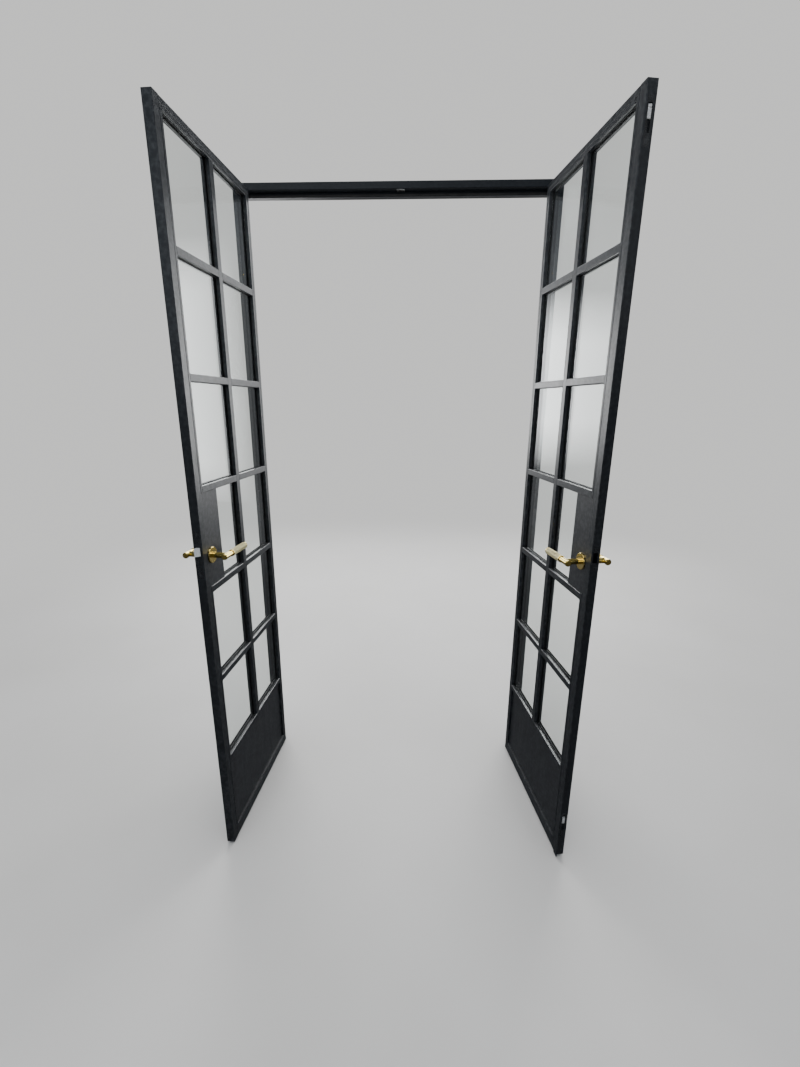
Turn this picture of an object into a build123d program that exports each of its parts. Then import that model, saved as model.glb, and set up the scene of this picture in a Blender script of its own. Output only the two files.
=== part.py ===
from build123d import *
import math
import os

# Pair of glazed metal doors in their own frame. Millimetres, +Z up.
# Origin: middle of the doorway, on the finished floor, in the plane of the
# frame's near-room face. +X to the right seen from the near room, +Y towards
# the far room. The leaves swing into the near room (-Y).

# ---- frame ----
FRAME_W = 1076.0        # over both jambs
FRAME_H = 2133.0
FRAME_D = 52.0
LEG = 22.0              # width of the frame's tube
STOP = 12.0             # the stop stands in by this much more
STOP_Y = 28.0           # front face of the stop
WALL = 2.0              # sheet thickness of the hollow sections
FIX_Z = (150.0, 750.0, 1350.0, 1950.0)
FIX_R = 3.25
FIX_Y = 14.0

# ---- leaves ----
LEAF_W = 512.0
LEAF_H = 2100.0
LEAF_T = 26.0
FLOOR_GAP = 8.0
MEET_GAP = 1.5          # half of the gap between the leaves
HINGE_X = 516.0
HINGE_Y = -10.0
OPEN_LEFT = 93.8        # opening angles at which the doors stand
OPEN_RIGHT = 98.8
OPEN_MAX = 110.0

LOCK_BODY = 26.0        # tube of the meeting stile
LOCK_FACE = 36.0        # with its glazing bead
HINGE_BODY = 12.0
HINGE_FACE = 24.0
TOP_BODY = 15.5
TOP_FACE = 25.5
BOTTOM_BODY = 26.0
BOTTOM_FACE = 38.0
MULLION = (249.5, 273.0)
BAR_TOPS = (1800.0, 1503.8, 1207.6, 911.4, 615.2, 319.0)
BAR_H = 20.0
LIP_T = 8.0             # depth of the fixed lips, bar flanges and beads
WEB = 4.0
GLASS_Y = (10.0, 16.0)
GLASS_COVER = 6.0
BEAD_LINE = 0.7         # shadow line between a member and its bead
EDGE_R = 1.5
LOCK_BOX_U = 118.0      # the lock box ends here
LOCK_BOX_SET = 3.0      # its sheets lie this far behind the leaf's faces

# ---- handles ----
HANDLE_Z = 1002.5
SPINDLE_U = 51.0        # from the leaf's meeting edge
SPINDLE_SQ = 7.0
ROSE_R = 24.2
ROSE_T = 6.0
LEVER_OFF = 49.0        # axis of the bar, from the lock box's face
NECK_R = 8.6
HEAD_R = 8.2            # smooth part of the bar
END_R = 9.2             # collar on its short end
GRIP_R = 10.4            # knurled part
LEVER_BACK = 21.0       # the bar stands out behind the neck
GRIP_FROM = 24.0
LEVER_LEN = 117.0
LEVER_DROOP = 1.6

# ---- latch ----
LATCH_Z = 1026.0
LATCH_H = 12.0          # half of its height
LATCH_OUT = 11.0

# ---- flush bolts ----
BOLT_U = 11.0
BOLT_R = 4.0
BOLT_TRAVEL = 18.0

PLATE_UP = 42.0         # face plate above and below the flip lever's pivot
PLATE_DOWN = 54.0
POCKET = 28.0           # half of the pocket that the flip lever lies in
FLIP_LEN = 25.0

# ---- hinges ----
HINGE_Z = (250.0, 1050.0, 1850.0)   # in leaf heights
BARREL_R = 7.5
PIN_R = 4.0

MID_Y = LEAF_T / 2
nodes = {}


# ---------- small helpers ----------
def block(x0, x1, y0, y1, z0, z1):
    x0, x1 = min(x0, x1), max(x0, x1)
    body = Box(x1 - x0, y1 - y0, z1 - z0, align=(Align.MIN, Align.MIN, Align.MIN))
    return Pos(x0, y0, z0) * body


def section(points, rounds=()):
    """Flat polygon; each (corner, radius) in rounds is rounded off."""
    face = make_face(Polyline(*points, close=True))
    radii = sorted({r for _, r in rounds})
    for r in radii:
        picked = []
        for (px, py), rr in rounds:
            if rr == r:
                picked.append(min(face.vertices(), key=lambda v: (v.X - px) ** 2 + (v.Y - py) ** 2))
        face = fillet(picked, r)
    return face


def along_z(points, z0, z1, rounds=()):
    """Section in X-Y, drawn out from z0 to z1."""
    return Pos(0, 0, z0) * extrude(section(points, rounds), z1 - z0, dir=(0, 0, 1))


def along_x(points, x0, x1, rounds=()):
    """Section in Y-Z, drawn out from x0 to x1."""
    x0, x1 = min(x0, x1), max(x0, x1)
    body = extrude(section(points, rounds), x1 - x0, dir=(0, 0, 1))
    return Pos(x0, 0, 0) * (Plane.YZ * body)


def along_y(points, y0, y1, rounds=()):
    """Section in X-Z, drawn out from y0 to y1."""
    body = extrude(section(points, rounds), y1 - y0, dir=(0, 0, 1))
    # Plane.XZ looks along -Y, so the body is laid out from y1 back to y0.
    return Pos(0, y1, 0) * (Plane.XZ * body)


def rod_z(x, y, r, z0, z1):
    return Pos(x, y, z0) * Cylinder(r, z1 - z0, align=(Align.CENTER, Align.CENTER, Align.MIN))


def rod_y(x, z, r, y0, y1):
    return Pos(x, y1, z) * (Rot(90, 0, 0) * Cylinder(r, y1 - y0, align=(Align.CENTER, Align.CENTER, Align.MIN)))


def rod_x(y, z, r, x0, x1):
    x0, x1 = min(x0, x1), max(x0, x1)
    return Pos(x0, y, z) * (Rot(0, 90, 0) * Cylinder(r, x1 - x0, align=(Align.CENTER, Align.CENTER, Align.MIN)))


def hinge_place(s):
    """Where the built-closed leaf of side s (-1 left, +1 right) stands open."""
    turn = -OPEN_LEFT if s < 0 else OPEN_RIGHT
    hx = s * HINGE_X
    return Pos(hx, HINGE_Y, FLOOR_GAP) * Rot(0, 0, turn) * Pos(-hx, -HINGE_Y, 0)


def put(name, *solids, side=0):
    """Store a node; side -1 or +1 swings it open with that leaf."""
    out = []
    for body in solids:
        for piece in body.solids():
            out.append(hinge_place(side) * piece if side else piece)
    nodes[name] = out


# ---------- the fixed frame ----------
HALF = FRAME_W / 2
IN = HALF - LEG                 # rebate face
STOP_IN = IN - STOP             # inner edge of the stop
TOP_IN = FRAME_H - LEG
TOP_STOP = TOP_IN - STOP


def mitre_jamb(body, s):
    """Take away what is above the 45 degree mitre."""
    d = HALF - STOP_IN + 6
    return body - along_y([(s * HALF, FRAME_H), (s * (HALF - d), FRAME_H - d), (s * (HALF - d), FRAME_H + 9), (s * (HALF + 9), FRAME_H + 9), (s * (HALF + 9), FRAME_H)], -5, FRAME_D + 5)


def mitre_head(body):
    """Take away what is below the mitre at both ends."""
    d = HALF - STOP_IN + 6
    for s in (-1, 1):
        body = body - along_y([(s * HALF, FRAME_H), (s * (HALF - d), FRAME_H - d), (s * (HALF + 9), FRAME_H - d), (s * (HALF + 9), FRAME_H)], -5, FRAME_D + 5)
    return body


def jamb(s):
    """Upright tube of the frame."""
    o, i, w = s * HALF, s * IN, WALL
    body = along_z([(o, 0), (i, 0), (i, FRAME_D), (o, FRAME_D)], 0, FRAME_H,
                   [((o, 0), EDGE_R), ((i, 0), EDGE_R), ((o, FRAME_D), EDGE_R)])
    body -= block(s * (HALF - w), s * (IN + w), w, FRAME_D - w, -1, FRAME_H + 1)
    body = mitre_jamb(body, s)
    for z in FIX_Z:
        body = body - rod_x(FIX_Y, z, FIX_R, s * (HALF + 3), s * (IN - 3))
    return body


def jamb_stop(s):
    """Smaller tube welded inside the jamb, that the leaf closes against."""
    a, b, w = s * IN, s * STOP_IN, WALL
    body = along_z([(a, STOP_Y), (b, STOP_Y), (b, FRAME_D), (a, FRAME_D)], 0, FRAME_H,
                   [((b, STOP_Y), EDGE_R), ((b, FRAME_D), EDGE_R)])
    body -= block(s * (IN - w), s * (STOP_IN + w), STOP_Y + w, FRAME_D - w, -1, FRAME_H + 1)
    return mitre_jamb(body, s)


def head():
    w = WALL
    body = along_x([(0, TOP_IN), (FRAME_D, TOP_IN), (FRAME_D, FRAME_H), (0, FRAME_H)], -HALF, HALF,
                   [((0, TOP_IN), EDGE_R), ((FRAME_D, FRAME_H), EDGE_R), ((0, FRAME_H), EDGE_R)])
    body -= block(-HALF - 1, HALF + 1, w, FRAME_D - w, TOP_IN + w, FRAME_H - w)
    body = mitre_head(body)
    # way in for the top flush bolt
    return body - rod_z(MEET_GAP + BOLT_U, MID_Y, BOLT_R + 0.75, TOP_IN - 1, TOP_IN + WALL + 1)


def head_stop():
    w = WALL
    body = along_x([(STOP_Y, TOP_STOP), (FRAME_D, TOP_STOP), (FRAME_D, TOP_IN), (STOP_Y, TOP_IN)], -HALF, HALF,
                   [((STOP_Y, TOP_STOP), EDGE_R), ((FRAME_D, TOP_STOP), EDGE_R)])
    body -= block(-HALF - 1, HALF + 1, STOP_Y + w, FRAME_D - w, TOP_STOP + w, TOP_IN - w)
    return mitre_head(body)


put("door_stops", jamb_stop(-1), jamb_stop(1), head_stop())
put("left_jamb", jamb(-1))
put("right_jamb", jamb(1))
put("head_member", head())

kx = MEET_GAP + BOLT_U
keep = block(kx - 11, kx + 15, MID_Y - 9, MID_Y + 9, TOP_IN - 1.5, TOP_IN) - rod_z(kx, MID_Y, BOLT_R + 0.75, TOP_IN - 3, TOP_IN + 1)
put("top_bolt_keep", keep)

# rubber seal on the stop, a D strip on the jambs and the head
seal_y0 = LEAF_T + 0.4
seals = []
for s in (-1, 1):
    a, b = s * (STOP_IN + 2), s * (STOP_IN + 8)
    seals.append(along_z([(a, STOP_Y), (b, STOP_Y), (b, seal_y0), (a, seal_y0)], 0, TOP_STOP + 1, [((b, seal_y0), 0.8), ((a, seal_y0), 0.8)]))
z0, z1 = TOP_STOP + 1, TOP_STOP + 7
seals.append(along_x([(STOP_Y, z0), (STOP_Y, z1), (seal_y0, z1), (seal_y0, z0)], -(STOP_IN + 8), STOP_IN + 8, [((seal_y0, z1), 0.8), ((seal_y0, z0), 0.8)]))
put("stop_seals", *seals)


# ---------- hinges ----------
def frame_knuckle(s, zc):
    hx = s * HINGE_X
    body = rod_z(hx, HINGE_Y, BARREL_R, zc - 60, zc - 1)
    body += block(hx, s * (HINGE_X + BARREL_R), HINGE_Y, 0, zc - 60, zc - 1)
    body += block(hx + s * 1.0, s * (HALF - 2), -3, 0, zc - 60, zc - 1)
    body -= rod_z(hx, HINGE_Y, PIN_R + 0.02, zc - 45, zc + 1)
    return body


def leaf_knuckle(s, zc):
    """In closed-leaf coordinates, heights above the leaf's bottom."""
    hx = s * HINGE_X
    edge = s * (MEET_GAP + LEAF_W)
    body = rod_z(hx, HINGE_Y, BARREL_R, zc + 1, zc + 60)
    body += block(hx, s * (HINGE_X - BARREL_R), HINGE_Y, -3, zc + 1, zc + 60)
    body += block(edge, s * (MEET_GAP + LEAF_W - 20), -3, 0, zc + 1, zc + 60)
    body -= rod_z(hx, HINGE_Y, PIN_R + 0.05, zc - 1, zc + 58.4)
    return body


for s, side in ((-1, "left"), (1, "right")):
    hx = s * HINGE_X
    put(side + "_frame_hinges", *[frame_knuckle(s, z + FLOOR_GAP) for z in HINGE_Z])
    put(side + "_hinge_pins", *[rod_z(hx, HINGE_Y, PIN_R, z + FLOOR_GAP - 45, z + FLOOR_GAP + 57.5) for z in HINGE_Z])
put("hinge_washers", *[
    rod_z(s * HINGE_X, HINGE_Y, BARREL_R - 0.2, z + FLOOR_GAP - 1, z + FLOOR_GAP + 0.8)
    - rod_z(s * HINGE_X, HINGE_Y, PIN_R + 0.1, z + FLOOR_GAP - 2, z + FLOOR_GAP + 2)
    for s in (-1, 1) for z in HINGE_Z])


# ---------- a leaf ----------
def leaf(s, side):
    def X(u):
        return s * (MEET_GAP + u)

    T = LEAF_T
    us = SPINDLE_U
    far0 = T - LIP_T                      # inner face of beads and caps
    spindle_way = rod_y(X(us), HANDLE_Z, 10.0, -1, T + 1)
    lock_z = (BAR_TOPS[3], BAR_TOPS[2] - BAR_H)   # the lock box stands between two bars

    # meeting stile: a closed tube with the fixed glazing lip on its near side
    tube = along_z([(X(0), 0), (X(LOCK_BODY), 0), (X(LOCK_BODY), T), (X(0), T)], 0, LEAF_H,
                   [((X(0), 0), EDGE_R), ((X(0), T), EDGE_R), ((X(LOCK_BODY), T), EDGE_R)])
    tube -= block(X(WALL), X(LOCK_BODY - WALL), WALL, T - WALL, 3, LEAF_H - 3)
    tube += block(X(LOCK_BODY), X(LOCK_FACE), 0, LIP_T, BOTTOM_BODY, lock_z[0])
    tube += block(X(LOCK_BODY), X(LOCK_FACE), 0, LIP_T, lock_z[1], LEAF_H - TOP_BODY)
    if s < 0:
        tube -= block(X(-1), X(WALL), 3, T - 3, LATCH_Z - 80, LATCH_Z + 60)
        tube -= block(X(LOCK_BODY - WALL - 1), X(LOCK_FACE + 1), LIP_T - 0.1, far0 + 0.1, 964.9, 1065.1)
    else:
        tube -= block(X(-1), X(WALL), 3, T - 3, LATCH_Z - 35, LATCH_Z + 35)
        for (a, b) in BOLT_PLATES.values():
            tube -= along_x(plate_outline(a, b), X(-1), X(WALL))
        tube -= rod_z(X(BOLT_U), MID_Y, BOLT_R + 0.3, -1, LEAF_H + 1)
    put(side + "_meeting_stile", tube, side=s)

    # hinge stile
    u0, u1 = LEAF_W - HINGE_BODY, LEAF_W
    hs = along_z([(X(u0), 0), (X(u1), 0), (X(u1), T), (X(u0), T)], 0, LEAF_H,
                 [((X(u1), 0), EDGE_R), ((X(u1), T), EDGE_R), ((X(u0), T), EDGE_R)])
    hs -= block(X(u0 + WALL), X(u1 - WALL), WALL, T - WALL, 3, LEAF_H - 3)
    hs += block(X(LEAF_W - HINGE_FACE), X(u0), 0, LIP_T, BOTTOM_BODY, LEAF_H - TOP_BODY)
    put(side + "_hinge_stile", hs, side=s)

    # rails
    ua, ub = LOCK_BODY, LEAF_W - HINGE_BODY
    la, lb = LOCK_FACE, LEAF_W - HINGE_FACE
    z0, z1 = LEAF_H - TOP_BODY, LEAF_H
    tr = along_x([(0, z0), (T, z0), (T, z1), (0, z1)], X(ua), X(ub), [((T, z0), EDGE_R), ((T, z1), EDGE_R), ((0, z1), EDGE_R)])
    tr -= block(X(ua - 1), X(ub + 1), WALL, T - WALL, z0 + WALL, z1 - WALL)
    tr += block(X(la), X(lb), 0, LIP_T, LEAF_H - TOP_FACE, z0)
    put(side + "_top_rail", tr, side=s)
    z0, z1 = 0, BOTTOM_BODY
    br = along_x([(0, z0), (T, z0), (T, z1), (0, z1)], X(ua), X(ub), [((T, z0), EDGE_R), ((T, z1), EDGE_R), ((0, z0), EDGE_R)])
    br -= block(X(ua - 1), X(ub + 1), WALL, T - WALL, z0 + WALL, z1 - WALL)
    br += block(X(la), X(lb), 0, LIP_T, z1, BOTTOM_FACE)
    put(side + "_bottom_rail", br, side=s)

    # glazing beads: strips with a foot that closes the shadow line; the one on
    # the meeting stile is broken by the lock box
    def bead_z(ufoot, uline, uend, z0, z1):
        pts = [(X(ufoot), far0), (X(uend), far0), (X(uend), T), (X(uline), T), (X(uline), far0 + 2), (X(ufoot), far0 + 2)]
        return along_z(pts, z0, z1, [((X(uend), T), EDGE_R), ((X(uline), T), 0.6)])

    def bead_x(zfoot, zline, zend, u0, u1):
        pts = [(far0, zfoot), (far0, zend), (T, zend), (T, zline), (far0 + 2, zline), (far0 + 2, zfoot)]
        return along_x(pts, X(u0), X(u1), [((T, zend), EDGE_R), ((T, zline), 0.6)])

    bz0, bz1 = BOTTOM_BODY, LEAF_H - TOP_BODY
    b1 = bead_z(LOCK_BODY, LOCK_BODY + BEAD_LINE, LOCK_FACE, bz0, lock_z[0])
    b5 = bead_z(LOCK_BODY, LOCK_BODY + BEAD_LINE, LOCK_FACE, lock_z[1], bz1)
    b2 = bead_z(LEAF_W - HINGE_BODY, LEAF_W - HINGE_BODY - BEAD_LINE, LEAF_W - HINGE_FACE, bz0, bz1)
    b3 = bead_x(bz0, bz0 + BEAD_LINE, BOTTOM_FACE, la, lb)
    b4 = bead_x(bz1, bz1 - BEAD_LINE, LEAF_H - TOP_FACE, la, lb)
    put(side + "_glazing_beads", b1, b2, b3, b4, b5, side=s)

    # glazing bars and caps
    m0, m1 = MULLION
    mc = (m0 + m1) / 2
    low = BAR_TOPS[-1]                     # top of the lowest bar
    bars, caps = [], []

    def bar_z(u0, u1, z0, z1):
        c = (u0 + u1) / 2
        b = along_z([(X(u0), 0), (X(u1), 0), (X(u1), LIP_T), (X(c + WEB / 2), LIP_T), (X(c + WEB / 2), far0), (X(c - WEB / 2), far0), (X(c - WEB / 2), LIP_T), (X(u0), LIP_T)], z0, z1,
                    [((X(u0), 0), EDGE_R), ((X(u1), 0), EDGE_R)])
        return b

    def cap_z(u0, u1, z0, z1):
        return along_z([(X(u0), far0), (X(u1), far0), (X(u1), T), (X(u0), T)], z0, z1, [((X(u0), T), EDGE_R), ((X(u1), T), EDGE_R)])

    def bar_x(top, u0, u1, w0, w1):
        c = top - BAR_H / 2
        b = along_x([(0, top - BAR_H), (0, top), (LIP_T, top), (LIP_T, top - BAR_H)], X(u0), X(u1), [((0, top - BAR_H), EDGE_R), ((0, top), EDGE_R)])
        b += block(X(w0), X(w1), LIP_T, far0, c - WEB / 2, c + WEB / 2)
        return b

    def cap_x(top, u0, u1):
        return along_x([(far0, top - BAR_H), (far0, top), (T, top), (T, top - BAR_H)], X(u0), X(u1), [((T, top - BAR_H), EDGE_R), ((T, top), EDGE_R)])

    bars.append(bar_z(m0, m1, low, LEAF_H - TOP_FACE))
    caps.append(cap_z(m0, m1, low, LEAF_H - TOP_FACE))
    for top in BAR_TOPS[:-1]:
        bars.append(bar_x(top, la, m0, ua, mc - WEB / 2))
        bars.append(bar_x(top, m1, lb, mc + WEB / 2, ub))
        caps.append(cap_x(top, la, m0))
        caps.append(cap_x(top, m1, lb))
    bars.append(bar_x(low, la, lb, ua, ub))
    caps.append(cap_x(low, la, lb))
    put(side + "_glazing_bars", *bars, side=s)
    put(side + "_bar_caps", *caps, side=s)

    # panes and their gaskets
    rows = [LEAF_H - TOP_FACE] + [t for t in BAR_TOPS]
    panes, gaskets = [], []
    g0, g1 = GLASS_Y
    for i in range(len(BAR_TOPS)):
        zt = rows[0] if i == 0 else rows[i] - BAR_H
        zb = rows[i + 1]
        for (p0, p1) in ((la, m0), (m1, lb)):
            if i == 3 and p0 == la:
                p0 = LOCK_BOX_U
            c = GLASS_COVER
            panes.append(block(X(p0 - c), X(p1 + c), g0, g1, zb - c, zt + c))
            hole = block(X(p0 + 1), X(p1 - 1), 0, T, zb + 1, zt - 1)
            for (y0, y1) in ((LIP_T, g0), (g1, far0)):
                gaskets.append(block(X(p0 - c), X(p1 + c), y0, y1, zb - c, zt + c) - hole)
    put(side + "_glass_panes", *panes, side=s)
    put(side + "_glazing_gaskets", *gaskets, side=s)

    # kick panel, set back from both faces
    kick = block(X(la - GLASS_COVER), X(lb + GLASS_COVER), LIP_T, far0, BOTTOM_FACE - 8, low - BAR_H / 2 - WEB / 2 - 2)
    put(side + "_kick_panel", kick, side=s)

    # lock box between the third and the fourth bar: folded casing, open at the
    # stile, where a narrow groove parts its sheets from the tube
    n, f = LOCK_BOX_SET, T - LOCK_BOX_SET
    zb, zt = lock_z
    e, g, v = LOCK_BOX_U, LOCK_BODY, LOCK_BODY + BEAD_LINE
    pts = [(X(g), n + 1.0), (X(v), n + 1.0), (X(v), n), (X(e), n), (X(e), LIP_T), (X(e - 8), LIP_T), (X(e - 8), far0), (X(e), far0), (X(e), f), (X(v), f), (X(v), f - 1.0), (X(g), f - 1.0),
           (X(g), f - WALL), (X(e - 10), f - WALL), (X(e - 10), n + WALL), (X(g), n + WALL)]
    box = along_z(pts, zb, zt, [((X(e), n), EDGE_R), ((X(e), f), EDGE_R)])
    box -= spindle_way
    put(side + "_lock_box", box, side=s)

    # leaf halves of the hinges
    put(side + "_leaf_hinges", *[leaf_knuckle(s, z) for z in HINGE_Z], side=s)

    # roses on the lock box, each with a torsion spring inside
    roses, springs = [], []
    for face, out in ((f, 1), (n, -1)):
        def yy(a, b):
            lo, hi = face + out * a, face + out * b
            return min(lo, hi), max(lo, hi)
        y0, y1 = yy(0, ROSE_T)
        rose = rod_y(X(us), HANDLE_Z, ROSE_R, y0, y1)
        rim = rose.edges().filter_by(GeomType.CIRCLE).sort_by(Axis.Y)[-1 if out > 0 else 0]
        rose = fillet(rim, 1.4)
        rose -= rod_y(X(us), HANDLE_Z, 21.0, *yy(0, 4.5))
        rose -= rod_y(X(us), HANDLE_Z, NECK_R + 0.3, *yy(1, ROSE_T + 1))
        roses.append(rose)
        y0, y1 = yy(0.5, 4.0)
        springs.append(rod_y(X(us), HANDLE_Z, 19.0, y0, y1) - rod_y(X(us), HANDLE_Z, 13.5, y0 - 1, y1 + 1))
    put(side + "_roses", *roses, side=s)
    put(side + "_rose_springs", *springs, side=s)

    # levers: a neck that carries a round bar, smooth where the neck meets it
    # and knurled along the grip; the bar's short end stands out behind the neck
    def droop(body):
        # sinks the free end by turning about the spindle's axis
        turn = Rot(0, s * LEVER_DROOP, 0)
        return Pos(X(us), 0, HANDLE_Z) * turn * Pos(-X(us), 0, -HANDLE_Z) * body

    q = SPINDLE_SQ / 2
    for face, out, name in ((f, 1, "far"), (n, -1, "near")):
        yb = face + out * LEVER_OFF
        lever = rod_y(X(us), HANDLE_Z, NECK_R, *sorted((face + out * 1.0, yb)))
        lever += rod_y(X(us), HANDLE_Z, 11.0, *sorted((face + out * 1.0, face + out * 4.2)))
        bar = rod_x(yb, HANDLE_Z, HEAD_R, X(us - LEVER_BACK), X(us + GRIP_FROM + 1))
        ends = bar.edges().filter_by(GeomType.CIRCLE).sort_by(Axis.X)
        bar = fillet(ends[-1] if s < 0 else ends[0], 1.2)
        collar = rod_x(yb, HANDLE_Z, END_R, X(us - LEVER_BACK + 1.5), X(us - LEVER_BACK + 7.5))
        bar += fillet(collar.edges().filter_by(GeomType.CIRCLE), 0.8)
        grip = rod_x(yb, HANDLE_Z, GRIP_R, X(us + GRIP_FROM), X(us + LEVER_LEN))
        ends = grip.edges().filter_by(GeomType.CIRCLE).sort_by(Axis.X)
        grip = fillet(ends[0] if s < 0 else ends[-1], 3.5)
        ends = grip.edges().filter_by(GeomType.CIRCLE).sort_by(Axis.X)
        grip = chamfer(ends[-1] if s < 0 else ends[0], 0.5)
        lever = lever + bar + grip
        y0, y1 = sorted((face + out * 0.0, face + out * 25.0))
        lever -= block(X(us) - q, X(us) + q, y0, y1, HANDLE_Z - q, HANDLE_Z + q)
        put(side + "_lever_" + name, droop(lever), side=s)
    spindle = block(X(us) - q, X(us) + q, n - 25.0, f + 25.0, HANDLE_Z - q, HANDLE_Z + q)
    put(side + "_spindle", droop(spindle), side=s)
    return X, droop


def plate_outline(z0, z1, y0=MID_Y - 7, y1=MID_Y + 7):
    """Face plate outline in Y-Z with chamfered ends."""
    c = 3.0
    return [(y0 + c, z0), (y1 - c, z0), (y1, z0 + c), (y1, z1 - c), (y1 - c, z1), (y0 + c, z1), (y0, z1 - c), (y0, z0 + c)]


BOLT_PIVOT = {"top": 2029.0, "bottom": 127.0}
BOLT_PLATES = {k: (z - PLATE_DOWN, z + PLATE_UP) for k, z in BOLT_PIVOT.items()}

XL, droop_left = leaf(-1, "left")
XR, droop_right = leaf(1, "right")

# ---------- lock of the left leaf ----------
us = SPINDLE_U
fp_z = (LATCH_Z - 80, LATCH_Z + 60)
face_plate = block(XL(0), XL(WALL), 3, LEAF_T - 3, *fp_z)
face_plate -= block(XL(-1), XL(WALL + 1), MID_Y - 6.4, MID_Y + 6.4, LATCH_Z - LATCH_H - 0.4, LATCH_Z + LATCH_H + 0.4)
screw_z = (fp_z[0] + 10, fp_z[1] - 10)


def screw(X, z):
    """Countersunk screw set into a 2 mm plate on the leaf's edge."""
    sgn = 1 if X(1) > X(0) else -1
    turn = Rot(0, 90 * sgn, 0)
    head_ = Pos(X(0), MID_Y, z) * turn * Cone(4.0, 2.0, WALL, align=(Align.CENTER, Align.CENTER, Align.MIN))
    shank = rod_x(MID_Y, z, 2.0, X(WALL), X(WALL + 8))
    return head_ + shank


def screw_seat(X, z):
    sgn = 1 if X(1) > X(0) else -1
    turn = Rot(0, 90 * sgn, 0)
    return Pos(X(0), MID_Y, z) * turn * Cone(4.0, 2.0, WALL, align=(Align.CENTER, Align.CENTER, Align.MIN))


for z in screw_z:
    face_plate -= screw_seat(XL, z)
put("lock_face_plate", face_plate, side=-1)

case = block(XL(WALL), XL(23.9), 5, 21, 965, 1065)
case += block(XL(23.9), XL(74), LIP_T, LEAF_T - LIP_T, 965, 1065)
case -= block(XL(WALL - 1), XL(23), MID_Y - 6.4, MID_Y + 6.4, LATCH_Z - LATCH_H - 0.4, LATCH_Z + LATCH_H + 0.4)
case -= block(XL(11), XL(72.5), 9.7, 16.3, 972, 1058)
case -= rod_y(XL(us), HANDLE_Z, 6.6, 7, 19)
put("lock_case", case, side=-1)
put("face_plate_screws", screw(XL, screw_z[0]), screw(XL, screw_z[1]), side=-1)

# follower: hub, two journals and a cam arm that leans 20 degrees to the edge at rest
ARM_R, ARM_LEAN, TIP_R, SHANK = 16.0, 20.0, 2.0, 1.5
hub = rod_y(XL(us), HANDLE_Z, 8.5, 10, 16) + rod_y(XL(us), HANDLE_Z, 6.5, 8.2, 17.8)
lean = math.radians(ARM_LEAN)
tu, tz = us - ARM_R * math.sin(lean), HANDLE_Z + ARM_R * math.cos(lean)
cu, cz = math.cos(lean) * SHANK, math.sin(lean) * SHANK
arm = along_y([(XL(us - cu), HANDLE_Z - cz), (XL(us + cu), HANDLE_Z + cz), (XL(tu + cu), tz + cz), (XL(tu - cu), tz - cz)], 10, 16)
hub = hub + arm + rod_y(XL(tu), tz, TIP_R, 10, 16)
q = SPINDLE_SQ / 2
turned_square = droop_left(block(XL(us) - q, XL(us) + q, 5, 21, HANDLE_Z - q, HANDLE_Z + q))
put("lock_follower", hub - turned_square, side=-1)

# latch bolt: bevelled nose, tail over the cam, hook behind the cam's tip
nose = along_z([(XL(10), 7), (XL(-LATCH_OUT), 7), (XL(-LATCH_OUT), 8.6), (XL(-1), 19), (XL(10), 19)], LATCH_Z - LATCH_H, LATCH_Z + LATCH_H)
latch = nose + block(XL(9), XL(us + 4.5), 10, 16, HANDLE_Z + 18.5, LATCH_Z + 6)
latch += block(XL(us - 2.7), XL(us + 3.0), 10, 16, HANDLE_Z + 14.0, HANDLE_Z + 19)
put("latch_bolt", latch, side=-1)

# ---------- pieces of the right leaf alone ----------
sp_z = (LATCH_Z - 35, LATCH_Z + 35)
strike = block(XR(0), XR(WALL), 3, LEAF_T - 3, *sp_z)
strike -= block(XR(-1), XR(WALL + 1), MID_Y - 7, MID_Y + 7, LATCH_Z - LATCH_H - 1.5, LATCH_Z + LATCH_H + 4)
st_z = (sp_z[0] + 8, sp_z[1] - 8)
for z in st_z:
    strike -= screw_seat(XR, z)
put("strike_plate", strike, side=1)
put("strike_screws", screw(XR, st_z[0]), screw(XR, st_z[1]), side=1)

a0 = LEAF_T + 0.4
astragal = along_z([(XR(12), LEAF_T), (XR(0), LEAF_T), (XR(0), a0), (XR(-8), a0), (XR(-8), LEAF_T + 3), (XR(12), LEAF_T + 3)], 0, LEAF_H - TOP_BODY,
                   [((XR(-8), LEAF_T + 3), EDGE_R), ((XR(12), LEAF_T + 3), EDGE_R)])
put("astragal", astragal, side=1)

for which in ("top", "bottom"):
    za, zb = BOLT_PLATES[which]
    zp = BOLT_PIVOT[which]
    plate = along_x(plate_outline(za, zb), XR(0), XR(WALL))
    house = block(XR(WALL), XR(18), MID_Y - 5.5, MID_Y + 5.5, zp - POCKET - 5, zp + POCKET + 5)
    plate = plate + house
    plate -= block(XR(-1), XR(5), MID_Y - 4.5, MID_Y + 4.5, zp - POCKET, zp + POCKET)
    plate -= rod_z(XR(BOLT_U), MID_Y, BOLT_R + 0.15, zp - 50, zp + 50)
    plate -= rod_y(XR(1.8), zp, 1.05, MID_Y - 6.5, MID_Y + 6.5)
    put(which + "_bolt_plate", plate, side=1)
    # flip lever with its pivot pin, lying up in the pocket
    lev = block(XR(0.1), XR(3.5), MID_Y - 4, MID_Y + 4, zp, zp + FLIP_LEN) + rod_y(XR(1.8), zp, 1.7, MID_Y - 4, MID_Y + 4)
    lev += rod_y(XR(1.8), zp, 0.97, MID_Y - 5.3, MID_Y + 5.3)
    lev -= rod_y(XR(-0.4), zp + FLIP_LEN - 6, 1.6, MID_Y - 5, MID_Y + 5)
    put(which + "_bolt_lever", lev, side=1)
    if which == "top":
        rod = rod_z(XR(BOLT_U), MID_Y, BOLT_R, zp + 6, LEAF_H - 2)
    else:
        rod = rod_z(XR(BOLT_U), MID_Y, BOLT_R, 2, zp)
    put(which + "_bolt_rod", rod, side=1)

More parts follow.
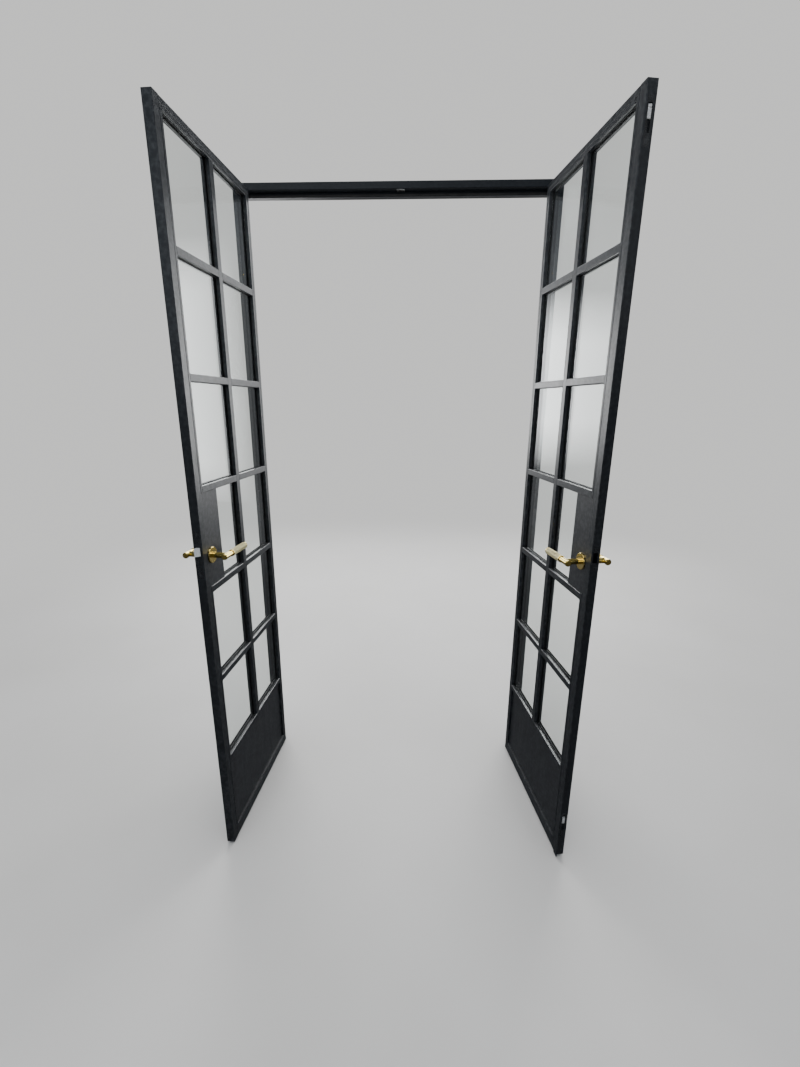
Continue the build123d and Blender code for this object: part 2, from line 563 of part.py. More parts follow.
# ---------- write out ----------
os.makedirs("parts", exist_ok=True)
for name, solids in nodes.items():
    shape = solids[0] if len(solids) == 1 else Compound(solids)
    export_step(shape, "parts/" + name + ".step")
print(len(nodes), "nodes,", sum(len(v) for v in nodes.values()), "solids")
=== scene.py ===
import bpy
import math
from mathutils import Matrix, Vector


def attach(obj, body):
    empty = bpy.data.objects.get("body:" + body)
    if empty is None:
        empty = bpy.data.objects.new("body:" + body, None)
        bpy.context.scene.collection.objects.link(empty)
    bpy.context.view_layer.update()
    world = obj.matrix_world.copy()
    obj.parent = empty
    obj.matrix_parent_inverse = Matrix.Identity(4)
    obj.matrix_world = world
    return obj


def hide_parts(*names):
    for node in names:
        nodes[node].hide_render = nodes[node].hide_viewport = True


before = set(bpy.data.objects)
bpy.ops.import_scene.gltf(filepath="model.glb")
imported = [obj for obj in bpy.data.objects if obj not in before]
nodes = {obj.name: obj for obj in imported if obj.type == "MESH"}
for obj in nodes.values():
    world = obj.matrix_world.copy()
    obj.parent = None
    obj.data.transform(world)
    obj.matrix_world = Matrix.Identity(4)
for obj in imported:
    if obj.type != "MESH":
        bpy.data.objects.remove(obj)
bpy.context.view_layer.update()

# ---------------------------------------------------------------- sizes (mm)
HINGE_X, HINGE_Y, FLOOR_GAP = 516.0, -10.0, 8.0
MEET_GAP = 1.5
LEAF_T = 26.0
TURN = {-1: math.radians(-93.8), 1: math.radians(98.8)}
SPINDLE_U, HANDLE_Z = 51.0, 1002.5
BOX_SET = 3.0                    # the lock box lies this far behind the leaf's faces
LEVER_OFF = 49.0                 # axis of the bar, from the lock box
NECK_R, HEAD_R, END_R, GRIP_R = 8.57, 8.17, 9.17, 10.37
LEVER_BACK, GRIP_FROM, LEVER_LEN, DROOP = 20.97, 24.0, 116.95, 1.6


def place(s, x, y, z):
    """Point of a closed leaf, in mm, to the row frame, in metres."""
    a, hx = TURN[s], s * HINGE_X
    dx, dy = x - hx, y - HINGE_Y
    return (
        (hx + dx * math.cos(a) - dy * math.sin(a)) / 1000,
        (HINGE_Y + dx * math.sin(a) + dy * math.cos(a)) / 1000,
        (z + FLOOR_GAP) / 1000,
    )


# ---------------------------------------------------------------- node helpers
class Tree:
    """Short-hand for building a material's node tree."""

    def __init__(self, name):
        self.mat = bpy.data.materials.new(name)
        self.mat.use_nodes = True
        self.nt = self.mat.node_tree
        self.nt.nodes.clear()
        self.out = self.nt.nodes.new("ShaderNodeOutputMaterial")

    def node(self, kind, **sets):
        n = self.nt.nodes.new(kind)
        for k, v in sets.items():
            if hasattr(n, k):
                setattr(n, k, v)
            else:
                n.inputs[k.replace("_", " ")].default_value = v
        return n

    def link(self, a, b):
        self.nt.links.new(a, b)

    def coords(self, scale=(1, 1, 1)):
        c = self.node("ShaderNodeTexCoord")
        m = self.node("ShaderNodeMapping")
        m.inputs["Scale"].default_value = scale
        self.link(c.outputs["Object"], m.inputs["Vector"])
        return m.outputs["Vector"]

    def noise(self, vec, scale, detail=2.0, rough=0.5, distortion=0.0):
        n = self.node("ShaderNodeTexNoise")
        n.inputs["Scale"].default_value = scale
        n.inputs["Detail"].default_value = detail
        n.inputs["Roughness"].default_value = rough
        n.inputs["Distortion"].default_value = distortion
        self.link(vec, n.inputs["Vector"])
        return n.outputs["Fac"]

    def span(self, value, a, b, lo, hi):
        """Maps value from a..b to lo..hi, clamped."""
        n = self.node("ShaderNodeMapRange")
        n.inputs["From Min"].default_value = a
        n.inputs["From Max"].default_value = b
        n.inputs["To Min"].default_value = lo
        n.inputs["To Max"].default_value = hi
        self.link(value, n.inputs["Value"])
        return n.outputs["Result"]

    def mix(self, fac, a, b):
        n = self.node("ShaderNodeMix")
        n.data_type = "RGBA"
        if isinstance(fac, float):
            n.inputs[0].default_value = fac
        else:
            self.link(fac, n.inputs[0])
        for sock, v in ((n.inputs[6], a), (n.inputs[7], b)):
            if isinstance(v, tuple):
                sock.default_value = (*v, 1.0)
            else:
                self.link(v, sock)
        return n.outputs[2]

    def math(self, op, a, b=None):
        n = self.node("ShaderNodeMath")
        n.operation = op
        for i, v in enumerate((a, b)):
            if v is None:
                continue
            if isinstance(v, (int, float)):
                n.inputs[i].default_value = v
            else:
                self.link(v, n.inputs[i])
        return n.outputs[0]

    def bump(self, height, strength, distance, normal=None):
        n = self.node("ShaderNodeBump")
        n.inputs["Strength"].default_value = strength
        n.inputs["Distance"].default_value = distance
        self.link(height, n.inputs["Height"])
        if normal is not None:
            self.link(normal, n.inputs["Normal"])
        return n.outputs["Normal"]

    def principled(self, **sets):
        n = self.node("ShaderNodeBsdfPrincipled")
        for k, v in sets.items():
            n.inputs[k.replace("_", " ")].default_value = v
        self.link(n.outputs[0], self.out.inputs["Surface"])
        return n


# ---------------------------------------------------------------- materials
BACKDROP = (0.80, 0.80, 0.79)


def coat_material(name, dark, light, rough=0.36, peel=0.10, ledge_painted_shade=False, ledge=0.0, spec=0.5, edge_wear_highlight_amount=0.22):
    """Satin powder coat: fine orange peel, faint mottling, a film of dust on ledges, wear and a painted highlight on
    edges, and on request painted shade on ledges.
    """
    t = Tree(name)
    v = t.coords()
    patches = t.noise(v, 3.2, 5.0, 0.6)
    grain = t.noise(v, 620.0, 2.0, 0.5)
    peel_n = t.noise(v, 330.0, 2.0, 0.4)
    smear = t.noise(t.coords((3.0, 3.0, 0.6)), 14.0, 5.0, 0.62, 0.4)
    base = t.mix(t.span(patches, 0.3, 0.7, 0.0, 1.0), dark, light)
    base = t.mix(t.math("MULTIPLY", t.span(grain, 0.35, 0.75, 0.0, 1.0), 0.10), base, tuple(min(1.0, c * 2.0 + 0.006) for c in light))
    # dust where the surface looks up
    geo = t.node("ShaderNodeNewGeometry")
    sep = t.node("ShaderNodeSeparateXYZ")
    t.link(geo.outputs["Normal"], sep.inputs[0])
    up = t.span(sep.outputs["Z"], 0.6, 1.0, 0.0, 0.07)
    dust = t.math("MULTIPLY", up, t.span(t.noise(v, 60.0, 4.0, 0.65), 0.25, 0.75, 0.35, 1.0))
    base = t.mix(dust, base, (0.36, 0.35, 0.33))
    # rubbed edges: partly wear, partly a painted highlight that lightens every arris
    edge_wear_and_highlight = t.span(geo.outputs["Pointiness"], 0.52, 0.60, 0.0, 1.0)
    edge_wear_and_highlight = t.math("MULTIPLY", edge_wear_and_highlight, t.span(t.noise(v, 90.0, 3.0, 0.6), 0.42, 0.66, 0.0, edge_wear_highlight_amount))
    base = t.mix(edge_wear_and_highlight, base, (0.13, 0.14, 0.15))
    p = t.principled(Metallic=0.0, IOR=1.5, Specular_IOR_Level=spec)
    t.link(base, p.inputs["Base Color"])
    r = t.math("ADD", t.span(smear, 0.3, 0.7, rough - 0.04, rough + 0.05), t.span(grain, 0.3, 0.7, -0.02, 0.02))
    r = t.math("ADD", r, t.math("MULTIPLY", dust, 0.8))
    if ledge:
        # wiped ledges: a little glossier than the faces below them
        wiped = t.span(sep.outputs["Z"], 0.30, 0.75, 0.0, ledge)
        t.link(t.math("ADD", wiped, 0.5), p.inputs["Specular IOR Level"])
        r = t.math("SUBTRACT", r, t.math("MULTIPLY", wiped, 0.07))
    if ledge_painted_shade:
        # painted shade: the up-facing ledges that carry the panes made near-black, duller and rougher
        ledge_shade_mask = t.span(sep.outputs["Z"], 0.75, 0.95, 0.0, 1.0)
        t.link(t.mix(ledge_shade_mask, base, (0.0030, 0.0036, 0.0048)), p.inputs["Base Color"])
        t.link(t.math("MULTIPLY", t.math("SUBTRACT", 1.0, ledge_shade_mask), 0.5), p.inputs["Specular IOR Level"])
        r = t.math("ADD", r, t.math("MULTIPLY", ledge_shade_mask, 0.35))
    t.link(r, p.inputs["Roughness"])
    n = t.bump(peel_n, peel, 0.0006)
    n = t.bump(grain, peel * 0.6, 0.00025, n)
    t.link(n, p.inputs["Normal"])
    return t.mat


def brass_material(name, base, deep, rough=0.13, brushed=(1, 1, 1), lines_strength=0.06, metal=1.0):
    """Polished brass: faint turning marks, warm tarnish and finger marks."""
    t = Tree(name)
    v = t.coords()
    lines = t.noise(t.coords(brushed), 900.0, 3.0, 0.6)
    tarnish = t.noise(v, 45.0, 4.0, 0.65, 0.6)
    marks = t.noise(v, 160.0, 3.0, 0.55)
    col = t.mix(t.span(tarnish, 0.38, 0.74, 0.0, 1.0), base, deep)
    p = t.principled(Metallic=metal)
    t.link(col, p.inputs["Base Color"])
    r = t.math("ADD", t.span(marks, 0.3, 0.7, rough - 0.03, rough + 0.06), t.span(lines, 0.3, 0.7, -0.03, 0.03))
    t.link(r, p.inputs["Roughness"])
    t.link(t.bump(lines, lines_strength, 0.0001), p.inputs["Normal"])
    return t.mat


def steel_material(name, base, rough=0.3, brushed=(1, 1, 30), strength=0.14, metal=1.0):
    t = Tree(name)
    v = t.coords()
    lines = t.noise(t.coords(brushed), 260.0, 3.0, 0.6)
    spots = t.noise(v, 110.0, 4.0, 0.6)
    lo = tuple(c * 0.82 for c in base)
    col = t.mix(t.span(spots, 0.35, 0.7, 0.0, 1.0), base, lo)
    p = t.principled(Metallic=metal)
    t.link(col, p.inputs["Base Color"])
    r = t.math("ADD", t.span(spots, 0.3, 0.7, rough - 0.06, rough + 0.08), t.span(lines, 0.3, 0.7, -0.06, 0.06))
    t.link(r, p.inputs["Roughness"])
    t.link(t.bump(lines, strength, 0.00015), p.inputs["Normal"])
    return t.mat


def rubber_material(name):
    t = Tree(name)
    v = t.coords()
    fine = t.noise(v, 1400.0, 2.0, 0.5)
    bloom = t.noise(v, 30.0, 4.0, 0.6)
    col = t.mix(t.span(bloom, 0.35, 0.75, 0.0, 1.0), (0.012, 0.012, 0.013), (0.034, 0.034, 0.035))
    p = t.principled(Metallic=0.0)
    t.link(col, p.inputs["Base Color"])
    t.link(t.span(bloom, 0.3, 0.7, 0.55, 0.72), p.inputs["Roughness"])
    t.link(t.bump(fine, 0.25, 0.0002), p.inputs["Normal"])
    return t.mat


def glass_material(name):
    """Clear float glass seen straight through, mirroring by its Fresnel share, with a faint smeared haze."""
    t = Tree(name)
    v = t.coords()
    clear = t.node("ShaderNodeBsdfTransparent")
    clear.inputs["Color"].default_value = (0.955, 0.972, 0.965, 1.0)
    p = t.node("ShaderNodeBsdfPrincipled")
    p.inputs["Metallic"].default_value = 1.0
    p.inputs["Base Color"].default_value = (0.95, 0.97, 0.98, 1.0)
    smear = t.noise(t.coords((1.0, 1.0, 0.35)), 9.0, 5.0, 0.6, 0.8)
    t.link(t.span(smear, 0.35, 0.75, 0.0, 0.05), p.inputs["Roughness"])
    wave = t.noise(v, 6.0, 1.0, 0.4)
    t.link(t.bump(wave, 0.06, 0.002), p.inputs["Normal"])
    # the same share on both sides of a face: 4 % head on, rising at grazing angles
    lw = t.node("ShaderNodeLayerWeight")
    lw.inputs["Blend"].default_value = 0.5
    graze = t.math("POWER", lw.outputs["Facing"], 5.0)
    share = t.math("ADD", t.math("MULTIPLY", graze, 0.96), 0.04)
    share = t.math("ADD", share, t.span(smear, 0.45, 0.8, 0.0, 0.010))
    mixer = t.node("ShaderNodeMixShader")
    t.link(share, mixer.inputs[0])
    t.link(clear.outputs[0], mixer.inputs[1])
    t.link(p.outputs[0], mixer.inputs[2])
    t.link(mixer.outputs[0], t.out.inputs["Surface"])
    return t.mat


def floor_material(name):
    """Pale floor that runs out into the backdrop all round."""
    t = Tree(name)
    v = t.coords()
    col = t.mix(t.span(t.noise(v, 1.3, 3.0, 0.5), 0.35, 0.65, 0.0, 1.0), (0.70, 0.69, 0.67), (0.74, 0.73, 0.715))
    p = t.principled(Metallic=0.0, Roughness=0.6)
    t.link(col, p.inputs["Base Color"])
    glow = t.node("ShaderNodeEmission")
    glow.inputs["Color"].default_value = (*BACKDROP, 1.0)
    away = t.node("ShaderNodeVectorMath", operation="LENGTH")
    t.link(v, away.inputs[0])
    fade = t.node("ShaderNodeMapRange")
    fade.interpolation_type = "SMOOTHSTEP"
    fade.inputs["From Min"].default_value = 1.5
    fade.inputs["From Max"].default_value = 4.6
    t.link(away.outputs["Value"], fade.inputs["Value"])
    m = t.node("ShaderNodeMixShader")
    t.link(fade.outputs[0], m.inputs[0])
    t.link(p.outputs[0], m.inputs[1])
    t.link(glow.outputs[0], m.inputs[2])
    t.link(m.outputs[0], t.out.inputs["Surface"])
    return t.mat


COAT = coat_material("coat", (0.0062, 0.0082, 0.0112), (0.0088, 0.0112, 0.0148), rough=0.33)
# lighter copy of the leaf coat for kick panels and lock boxes: its raised base colour is painted light
COAT_SHEET_PAINTED_LIGHTER = coat_material("coat_sheet_painted_lighter", (0.0125, 0.0139, 0.0172), (0.0165, 0.0182, 0.0222), rough=0.38)
COAT_CAPS = coat_material("coat_caps", (0.0062, 0.0082, 0.0112), (0.0088, 0.0112, 0.0148), rough=0.33, ledge=1.4)
# the bars' coat, with painted shade on their up-facing ledges
COAT_BARS = coat_material("coat_bars", (0.0062, 0.0082, 0.0112), (0.0088, 0.0112, 0.0148), rough=0.33, ledge_painted_shade=True)
# darker copy of the coat on the frame: its lower base colour is painted shade
COAT_FRAME_PAINTED_DARKER = coat_material("coat_frame_painted_darker", (0.0040, 0.0062, 0.0094), (0.0064, 0.0090, 0.0126), rough=0.40, spec=0.30, edge_wear_highlight_amount=0.03)
COAT_PLATE = coat_material("coat_plate", (0.0070, 0.0084, 0.0108), (0.0140, 0.0155, 0.0180), rough=0.26)
GLASS = glass_material("clear_glass")
RUBBER = rubber_material("rubber")
BRASS = brass_material("brass", (0.86, 0.68, 0.22), (0.66, 0.49, 0.12))
BRASS_ROSE = brass_material("brass_rose", (0.89, 0.71, 0.28), (0.72, 0.54, 0.17), rough=0.16)
# paler, half-metallic copy of the brass for the knurled grips: the scattered sheen of the knurling is painted into
# its colour
BRASS_GRIP_PAINTED_SHEEN = brass_material("brass_knurled_painted_sheen", (1.0, 0.92, 0.58), (0.95, 0.84, 0.46), rough=0.30, metal=0.6)
STEEL = steel_material("satin_steel", (0.60, 0.60, 0.585))
STEEL_BOLT = steel_material("bolt_steel", (0.82, 0.83, 0.84), rough=0.32, metal=0.45)
STEEL_LATCH = steel_material("latch_steel", (0.88, 0.91, 0.93), rough=0.30, metal=0.20)
ZINC = steel_material("zinc_plate", (0.44, 0.45, 0.46), rough=0.38, brushed=(1, 1, 1), strength=0.2)

LOOK = {}
for name in nodes:
    if "glass" in name:
        LOOK[name] = GLASS
    elif "gasket" in name or "seal" in name:
        LOOK[name] = RUBBER
    elif name.endswith("_roses") or name == "hinge_washers":
        LOOK[name] = BRASS_ROSE
    elif "lever_far" in name or "lever_near" in name:
        LOOK[name] = BRASS
    elif name in ("left_spindle", "right_spindle", "left_hinge_pins", "right_hinge_pins", "left_rose_springs", "right_rose_springs", "lock_case", "lock_follower"):
        LOOK[name] = ZINC
    elif name == "latch_bolt":
        LOOK[name] = STEEL_LATCH
    elif "bolt_lever" in name or "bolt_rod" in name:
        LOOK[name] = STEEL_BOLT
    elif name == "top_bolt_keep":
        LOOK[name] = STEEL
    elif name in ("lock_face_plate", "strike_plate", "face_plate_screws", "strike_screws") or "bolt_plate" in name:
        LOOK[name] = COAT_PLATE
    elif "kick_panel" in name or "lock_box" in name:
        LOOK[name] = COAT_SHEET_PAINTED_LIGHTER
    elif name.endswith("_bar_caps"):
        LOOK[name] = COAT_CAPS
    elif name.endswith("_bars"):
        LOOK[name] = COAT_BARS
    elif "jamb" in name or name in ("head_member", "door_stops"):
        LOOK[name] = COAT_FRAME_PAINTED_DARKER
    else:
        LOOK[name] = COAT
for name, o in nodes.items():
    o.data.materials.clear()
    o.data.materials.append(LOOK[name])


# ---------------------------------------------------------------- knurled levers
def lever(s, side, which):
    """One lever: turned neck, and a round bar with a smooth head and a diamond-knurled grip."""
    us = SPINDLE_U
    face, out = (LEAF_T - BOX_SET, 1) if which == "far" else (BOX_SET, -1)
    n = 26                       # starts of the knurl round the grip
    cols = 4 * n
    pitch = 2.5
    step = pitch / 4
    up = math.pi / 2
    # each ring: (u, v, tangent angle, radius or None for a knurl row, row index)
    neck = [(us, 1.0, up, 10.97, None), (us, 4.2, up, 10.97, None), (us, 4.2, up, NECK_R, None), (us, 14.0, up, NECK_R, None)]
    neck += [(us, 14.3, up, NECK_R - 0.22, None), (us, 14.9, up, NECK_R - 0.22, None), (us, 15.2, up, NECK_R, None)]
    neck += [(us, 30.0, up, NECK_R, None), (us, LEVER_OFF, up, NECK_R, None)]
    bar = []

    def ring(u, r, row=None):
        bar.append((u, LEVER_OFF, 0, r, row))

    u0 = us - LEVER_BACK
    for k in range(7):
        a = up * k / 6
        ring(u0 + 1.2 - 1.2 * math.cos(a), HEAD_R - 1.2 + 1.2 * math.sin(a))
    # collar on the short end
    ring(u0 + 1.5, HEAD_R)
    for at, way in ((u0 + 2.3, -1), (u0 + 6.7, 1)):
        for k in range(6):
            a = up * (k / 5 if way < 0 else 1 - k / 5)
            ring(at + way * 0.8 * math.cos(a), END_R - 0.8 + 0.8 * math.sin(a))
    ring(u0 + 7.5, HEAD_R)
    g = us + GRIP_FROM
    for u in (us - 8.0, us + 8.0, g - 2.2):
        ring(u, HEAD_R)
    for d, r in ((-2.0, HEAD_R - 0.25), (-0.3, HEAD_R - 0.25), (0.0, HEAD_R - 0.25), (0.02, GRIP_R - 0.5), (0.5, GRIP_R), (2.6, GRIP_R), (2.8, GRIP_R - 0.25), (2.95, GRIP_R - 0.58)):
        ring(g + d, r)
    end = us + LEVER_LEN
    start, stop = g + 3.1, end - 5.2
    rows = int((stop - start) / step)
    for i in range(rows + 1):
        ring(start + i * step, None, i)
    stop = start + rows * step
    for d, r in ((0.15, GRIP_R - 0.58), (0.3, GRIP_R - 0.25), (0.5, GRIP_R)):
        ring(stop + d, r)
    for k in range(11):
        a = up * k / 10
        ring(end - 3.5 + 3.5 * math.sin(a), GRIP_R - 3.5 + 3.5 * math.cos(a))
    verts, faces, knurl = [], [], []
    th = s * math.radians(DROOP)
    X0 = s * (MEET_GAP + us)
    flip = (s * out) > 0
    for rings in (neck, bar):
        base = len(verts)
        for (u, v, ang, r, row) in rings:
            tu, tv = math.cos(ang), math.sin(ang)
            for j in range(cols):
                phi = 2 * math.pi * j / cols
                if row is None:
                    rr = r
                else:
                    a, b = (row + j) / 4.0, (row - j) / 4.0
                    ga = 1 - abs(2 * (a % 1.0) - 1)
                    gb = 1 - abs(2 * (b % 1.0) - 1)
                    h = min(ga, gb)
                    h = 0.0 if h < 0.25 else (0.66 if h < 0.75 else 1.0)
                    rr = GRIP_R - 0.58 * (1 - h)
                # ring plane: z axis and the in-plane normal of the path
                nu, nv = -tv, tu
                du, dv, dz = nu * rr * math.cos(phi), nv * rr * math.cos(phi), rr * math.sin(phi)
                x = s * (MEET_GAP + u + du) - X0
                x2 = x * math.cos(th) + dz * math.sin(th)
                z2 = -x * math.sin(th) + dz * math.cos(th)
                verts.append(place(s, X0 + x2, face + out * (v + dv), HANDLE_Z + z2))
        m = len(rings)
        for i in range(m - 1):
            kn = rings[i][4] is not None and rings[i + 1][4] is not None
            for j in range(cols):
                j2 = (j + 1) % cols
                a, b = base + i * cols + j, base + i * cols + j2
                c, d = base + (i + 1) * cols + j2, base + (i + 1) * cols + j
                if kn:
                    odd = (rings[i][4] + j) % 2
                    quads = [(a, b, d), (b, c, d)] if odd else [(a, b, c), (a, c, d)]
                else:
                    quads = [(a, b, c, d)]
                for q in quads:
                    faces.append(q[::-1] if flip else q)
                    knurl.append(kn)
        first = tuple(base + j for j in range(cols))
        last = tuple(base + (m - 1) * cols + j for j in range(cols))
        faces.append(first if flip else first[::-1])
        faces.append(last[::-1] if flip else last)
        knurl += [False, False]
    me = bpy.data.meshes.new(side + "_lever_" + which + "_skin")
    me.from_pydata(verts, [], faces)
    me.update()
    me.polygons.foreach_set("use_smooth", [not k for k in knurl])
    me.materials.append(BRASS)
    # the knurl faces take the paler brass with its painted sheen
    me.materials.append(BRASS_GRIP_PAINTED_SHEEN)
    me.polygons.foreach_set("material_index", [1 if k else 0 for k in knurl])
    me.set_sharp_from_angle(angle=math.radians(28))
    o = bpy.data.objects.new(side + "_knurled_lever_" + which, me)
    bpy.context.scene.collection.objects.link(o)
    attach(o, side + "_levers")
    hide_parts(side + "_lever_" + which)
    return o


for s, side in ((-1, "left"), (1, "right")):
    for which in ("far", "near"):
        lever(s, side, which)

# ---------------------------------------------------------------- floor, light, camera
floor_me = bpy.data.meshes.new("floor")
R = 40.0
floor_me.from_pydata([(-R, -R, 0), (R, -R, 0), (R, R, 0), (-R, R, 0)], [], [(0, 1, 2, 3)])
floor_me.materials.append(floor_material("studio_floor"))
floor = bpy.data.objects.new("floor", floor_me)
bpy.context.scene.collection.objects.link(floor)

world = bpy.data.worlds.new("studio")
bpy.context.scene.world = world
world.use_nodes = True
wt = world.node_tree
wt.nodes.clear()
w_out = wt.nodes.new("ShaderNodeOutputWorld")
coord = wt.nodes.new("ShaderNodeTexCoord")
sep = wt.nodes.new("ShaderNodeSeparateXYZ")
wt.links.new(coord.outputs["Generated"], sep.inputs[0])


def world_range(sock, a, b, lo, hi):
    n = wt.nodes.new("ShaderNodeMapRange")
    n.interpolation_type = "SMOOTHSTEP"
    for k, v in (("From Min", a), ("From Max", b), ("To Min", lo), ("To Max", hi)):
        n.inputs[k].default_value = v
    wt.links.new(sock, n.inputs["Value"])
    return n.outputs[0]


def world_mix(fac, a, b):
    n = wt.nodes.new("ShaderNodeMix")
    n.data_type = "RGBA"
    wt.links.new(fac, n.inputs[0])
    for sock, v in ((n.inputs[6], a), (n.inputs[7], b)):
        if isinstance(v, tuple):
            sock.default_value = (*v, 1)
        else:
            wt.links.new(v, sock)
    return n.outputs[2]


# dim room on the near side; on the far side a light band about the horizon
band = world_mix(world_range(sep.outputs["Z"], 0.16, 0.42, 0.0, 1.0), (0.50, 0.515, 0.54), (0.17, 0.178, 0.195))
sky = world_mix(world_range(sep.outputs["Z"], 0.5, 0.95, 0.0, 1.0), band, (0.45, 0.46, 0.48))
near_side = (0.078, 0.100, 0.132)
tone = world_mix(world_range(sep.outputs["Y"], -0.25, 0.65, 0.0, 1.0), near_side, sky)
bg_light = wt.nodes.new("ShaderNodeBackground")
wt.links.new(tone, bg_light.inputs[0])
bg_light.inputs[1].default_value = 1.0
bg_seen = wt.nodes.new("ShaderNodeBackground")
bg_seen.inputs[0].default_value = (*BACKDROP, 1)
bg_seen.inputs[1].default_value = 1.0
path = wt.nodes.new("ShaderNodeLightPath")
both = wt.nodes.new("ShaderNodeMixShader")
wt.links.new(path.outputs["Is Camera Ray"], both.inputs[0])
wt.links.new(bg_light.outputs[0], both.inputs[1])
wt.links.new(bg_seen.outputs[0], both.inputs[2])
wt.links.new(both.outputs[0], w_out.inputs["Surface"])


def softbox(name, at, look, size, power, tint=(1, 1, 1)):
    d = bpy.data.lights.new(name, "AREA")
    d.shape = "RECTANGLE"
    d.size, d.size_y = size
    d.energy = power
    d.color = tint
    o = bpy.data.objects.new(name, d)
    bpy.context.scene.collection.objects.link(o)
    o.location = at
    o.rotation_mode = "QUATERNION"
    o.rotation_quaternion = (Vector(look) - Vector(at)).to_track_quat("-Z", "Y")
    o.visible_camera = False
    return o


for sx in (-1, 1):
    strip = softbox("far_strip_left" if sx < 0 else "far_strip_right", (sx * 2.35, 3.6, 2.3), (sx * 0.4, 0.0, 1.0), (1.4, 3.4), 90, (1.0, 0.995, 0.98))
    strip.visible_glossy = False
window = softbox("far_window", (0.0, 4.6, 3.4), (0.0, 0.0, 0.6), (3.4, 1.6), 90)
window.visible_glossy = False
softbox("overhead", (0.0, -0.5, 4.0), (0.0, -0.2, 0.0), (3.4, 2.8), 95)
softbox("near_fill", (-1.2, -4.2, 2.6), (0.0, 0.0, 1.0), (2.4, 2.0), 32, (0.93, 0.97, 1.0))
softbox("near_fill_right", (4.0, -4.2, 3.3), (0.64, -0.53, 1.8), (1.8, 2.6), 7, (1.0, 0.95, 0.88))



def card(name, corners, build):
    """Stage plane that only mirrors see. build(tree, x, z) gives its strength and its cover."""
    t = Tree(name)
    at = t.node("ShaderNodeSeparateXYZ")
    t.link(t.coords(), at.inputs[0])
    x = t.math("ABSOLUTE", at.outputs["X"])
    strength, cover = build(t, x, at.outputs["Z"])
    glow = t.node("ShaderNodeEmission")
    glow.inputs["Color"].default_value = (0.985, 0.995, 1.0, 1.0)
    t.link(strength, glow.inputs["Strength"])
    clear = t.node("ShaderNodeBsdfTransparent")
    mix = t.node("ShaderNodeMixShader")
    t.link(cover, mix.inputs[0])
    t.link(clear.outputs[0], mix.inputs[1])
    t.link(glow.outputs[0], mix.inputs[2])
    t.link(mix.outputs[0], t.out.inputs["Surface"])
    me = bpy.data.meshes.new(name)
    me.from_pydata(corners, [], [(0, 1, 2, 3)])
    me.materials.append(t.mat)
    o = bpy.data.objects.new(name, me)
    bpy.context.scene.collection.objects.link(o)
    o.visible_camera = o.visible_diffuse = o.visible_shadow = o.visible_transmission = False
    return o


def side_card(inner, outer, top, foot):
    def build(t, x, z):
        cover = t.math("MULTIPLY", t.span(x, 0.9, 1.6, 0.0, 1.0), t.span(x, 3.5, 4.3, 1.0, 0.0))
        cover = t.math("MULTIPLY", cover, t.math("MULTIPLY", t.span(z, foot, foot + 0.6, 0.0, 1.0), t.span(z, top, top + 0.6, 1.0, 0.0)))
        return t.span(x, 1.6, 2.8, inner, outer), cover
    return build


def sky_card(t, x, z):
    cover = t.math("MULTIPLY", t.span(x, 11.0, 14.0, 1.0, 0.0), t.span(z, 9.5, 13.0, 0.0, 1.0))
    return t.span(z, 10.0, 30.0, 6.5, 9.5), cover


card("far_card_left", [(-4.4, 3.9, 0.2), (-0.8, 3.9, 0.2), (-0.8, 3.9, 3.2), (-4.4, 3.9, 3.2)], side_card(8.0, 5.4, 2.2, 0.65))
card("far_card_right", [(0.8, 3.9, 0.2), (4.4, 3.9, 0.2), (4.4, 3.9, 3.3), (0.8, 3.9, 3.3)], side_card(0.3, 9.4, 2.7, 0.1))
card("sky_card", [(-21, 38, 9), (21, 38, 9), (21, 38, 40), (-21, 38, 40)], sky_card)

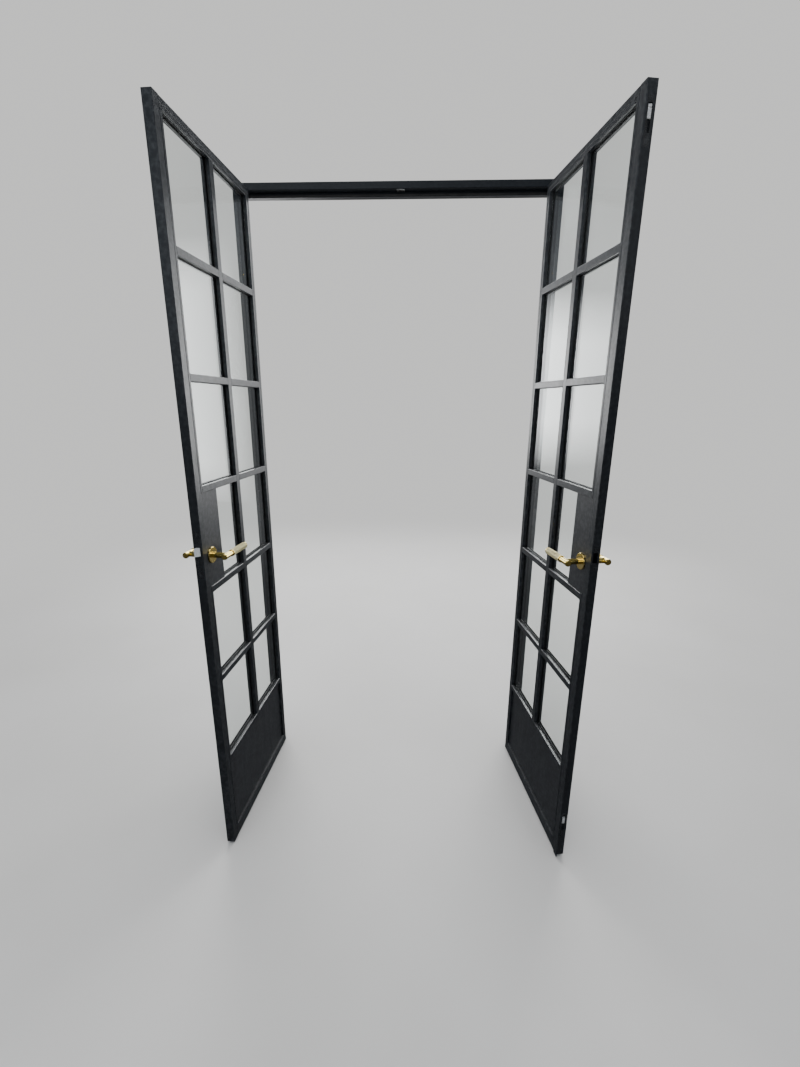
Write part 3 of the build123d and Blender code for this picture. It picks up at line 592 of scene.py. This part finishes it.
# what the metal and the glass mirror of the floor: dim near by, lighter far off
mirror = Tree("mirrored_floor")
m_sep = mirror.node("ShaderNodeSeparateXYZ")
mirror.link(mirror.coords(), m_sep.inputs[0])
m_ramp = mirror.node("ShaderNodeValToRGB")
m_ramp.color_ramp.interpolation = "EASE"
for i, (at, tone_at) in enumerate(((0.0, 0.075), (0.12, 0.12), (0.38, 0.34), (1.0, 0.50))):
    e = m_ramp.color_ramp.elements[i] if i < 2 else m_ramp.color_ramp.elements.new(at)
    e.position, e.color = at, (tone_at, tone_at * 1.01, tone_at * 1.03, 1.0)
mirror.link(mirror.span(m_sep.outputs["Y"], 0.0, 10.0, 0.0, 1.0), m_ramp.inputs[0])
m_glow = mirror.node("ShaderNodeEmission")
mirror.link(m_ramp.outputs[0], m_glow.inputs[0])
mirror.link(m_glow.outputs[0], mirror.out.inputs["Surface"])
mirror_me = bpy.data.meshes.new("mirrored_floor")
mirror_me.from_pydata([(-R, -R, 0), (R, -R, 0), (R, R, 0), (-R, R, 0)], [], [(0, 1, 2, 3)])
mirror_me.materials.append(mirror.mat)
mirror_floor = bpy.data.objects.new("mirrored_floor", mirror_me)
bpy.context.scene.collection.objects.link(mirror_floor)
mirror_floor.visible_camera = mirror_floor.visible_diffuse = mirror_floor.visible_shadow = mirror_floor.visible_transmission = False
floor.visible_glossy = False

# dark flag above the head, where a wall would be; only mirrored, it casts no shadow
flag_me = bpy.data.meshes.new("flag")
flag_me.from_pydata([(-2.6, 0.06, 2.14), (2.6, 0.06, 2.14), (2.6, 0.06, 3.9), (-2.6, 0.06, 3.9)], [], [(0, 1, 2, 3)])
dark = Tree("flag_cloth")
cloth = dark.principled(Metallic=0.0, Roughness=0.9)
dark.link(dark.mix(dark.span(dark.noise(dark.coords(), 4.0, 3.0, 0.5), 0.3, 0.7, 0.0, 1.0), (0.14, 0.14, 0.145), (0.18, 0.18, 0.185)), cloth.inputs["Base Color"])
flag_me.materials.append(dark.mat)
flag = bpy.data.objects.new("flag", flag_me)
bpy.context.scene.collection.objects.link(flag)
flag.visible_camera = flag.visible_diffuse = flag.visible_shadow = flag.visible_transmission = False


def turn(axis, deg):
    return Matrix.Rotation(math.radians(deg), 3, axis)


cam_data = bpy.data.cameras.new("camera")
cam = bpy.data.objects.new("camera", cam_data)
bpy.context.scene.collection.objects.link(cam)
rot = turn("Z", 2.232) @ turn("X", -15.312) @ turn("Y", -0.323)
right, ahead, above = rot.col[0], rot.col[1], rot.col[2]
basis = Matrix((right, above, -ahead)).transposed()
cam.matrix_world = Matrix.Translation((0.0874, -1.7565, 1.4350)) @ basis.to_4x4()
cam_data.sensor_fit = "AUTO"
cam_data.sensor_width = 36.0
cam_data.lens = 36.0 * 468.9 / 1067.0
cam_data.clip_start, cam_data.clip_end = 0.02, 200.0
bpy.context.scene.camera = cam
